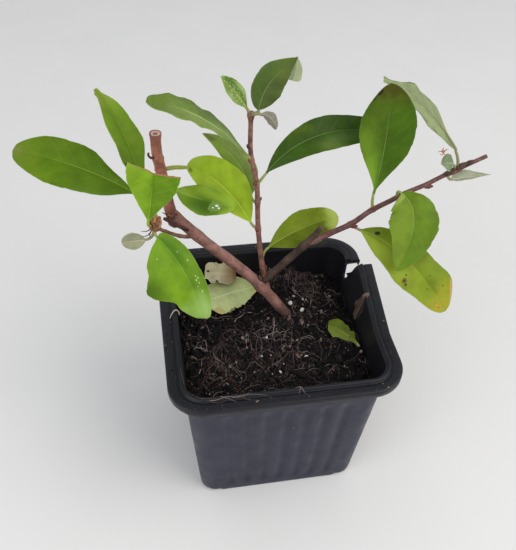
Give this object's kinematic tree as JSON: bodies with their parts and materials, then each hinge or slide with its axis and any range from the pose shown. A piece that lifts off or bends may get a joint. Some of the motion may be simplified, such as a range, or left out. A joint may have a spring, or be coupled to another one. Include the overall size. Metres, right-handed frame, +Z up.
{
  "type": "potted autumn olive",
  "caption": "Young autumn olive cut back hard, with a few large oval leaves on thin shoots, in a fluted square plastic nursery pot with a split rim.",
  "frame": {"origin": "centre of the pot's flat underside, on the surface it stands on", "axes": "+Z up, +X to the right as seen from the pot's front, +Y from the front to the back"},
  "size_m": [0.1792, 0.09, 0.1721],
  "materials": {
    "pot": "thin dark grey moulded plastic, dusty, with a soft sheen",
    "soil": "loose dark peat with fine roots",
    "old_bark": "smooth mauve-brown bark with small pores",
    "young_bark": "thin reddish brown bark with silvery scales",
    "leaf": "green leaf with a slight sheen above and pale below",
    "fallen_leaf": "faded leaf, dull"
  },
  "bodies": {
    "root": {"pot": "pot", "soil": "soil", "main_stem": "old_bark", "pruned_stub": "old_bark", "split_sliver": "old_bark", "side_twig": "young_bark", "middle_shoot": "young_bark", "right_bough": "old_bark", "right_shoot": "young_bark", "bud_cluster": "young_bark", "leaf_left_long": "leaf", "leaf_upper_left": "leaf", "leaf_cut_across": "leaf", "leaf_lower_left": "leaf", "leaf_small_grey": "leaf", "leaf_edge_on": "leaf", "leaf_long_arching": "leaf", "leaf_behind": "leaf", "leaf_yellow_green": "leaf", "leaf_spoon": "leaf", "leaf_silvery": "leaf", "leaf_top": "leaf", "leaf_tiny_taupe": "leaf", "leaf_dark_right": "leaf", "leaf_low_right": "leaf", "leaf_upright": "leaf", "leaf_arched_underside": "leaf", "leaf_rounded_pale": "leaf", "leaf_narrow_pale": "leaf", "leaf_folded": "leaf", "leaf_drooping": "leaf", "litter_pale_leaf": "fallen_leaf", "litter_torn_piece": "fallen_leaf", "litter_green_leaf": "fallen_leaf", "dry_flake": "fallen_leaf"}
  },
  "joints": []
}
